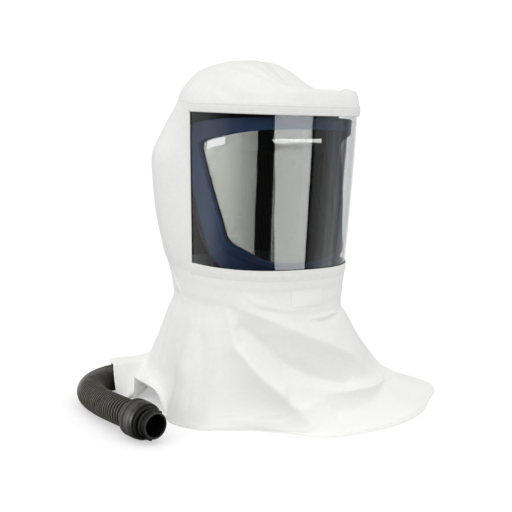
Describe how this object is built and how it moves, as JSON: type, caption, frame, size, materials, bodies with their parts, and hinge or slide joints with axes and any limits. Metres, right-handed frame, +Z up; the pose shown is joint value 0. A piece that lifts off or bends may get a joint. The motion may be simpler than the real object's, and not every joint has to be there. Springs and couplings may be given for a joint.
{
  "type": "disposable respirator hood",
  "caption": "White cloth respirator hood with a cape and a clear window, over a hard face shield with a face seal, fed through a corrugated breathing hose that ends in a bayonet spigot.",
  "frame": {"origin": "middle of the foot of the hood's box on the table, without the breathing hose and its fittings", "axes": "+Z up along the head, the face looks along -Y, +X to the wearer's left"},
  "size_m": [0.508, 0.3924, 0.462],
  "materials": {
    "hood_cloth": "white nonwoven polyolefin cloth, thermally bonded, matt",
    "band_cloth": "white nonwoven cloth folded double and stitched, matt",
    "window_sheet": "clear flexible film, glossy",
    "white_film": "bare white printed-film stock, without print",
    "navy_plastic": "injection-moulded nylon, fine grain",
    "shield_sheet": "clear moulded polycarbonate, glossy",
    "dark_knit": "dark elastic knit",
    "black_plastic": "moulded glass-filled nylon, satin",
    "hose_rubber": "moulded corrugated elastomer, satin",
    "cuff_rubber": "moulded soft rubber, satin"
  },
  "bodies": {
    "root": {"crown_panel": "hood_cloth", "back_panel": "hood_cloth", "front_bib": "hood_cloth", "back_cape": "hood_cloth", "brow_band": "band_cloth", "chin_band": "band_cloth", "hood_visor": "window_sheet", "bib_label": "white_film", "shield_frame": "navy_plastic", "shield_visor": "shield_sheet", "visor_tab": "white_film", "face_seal": "dark_knit", "air_carrier": "black_plastic", "breathing_hose": "hose_rubber", "hose_cuff": "cuff_rubber", "hose_spigot": "black_plastic"}
  },
  "joints": []
}
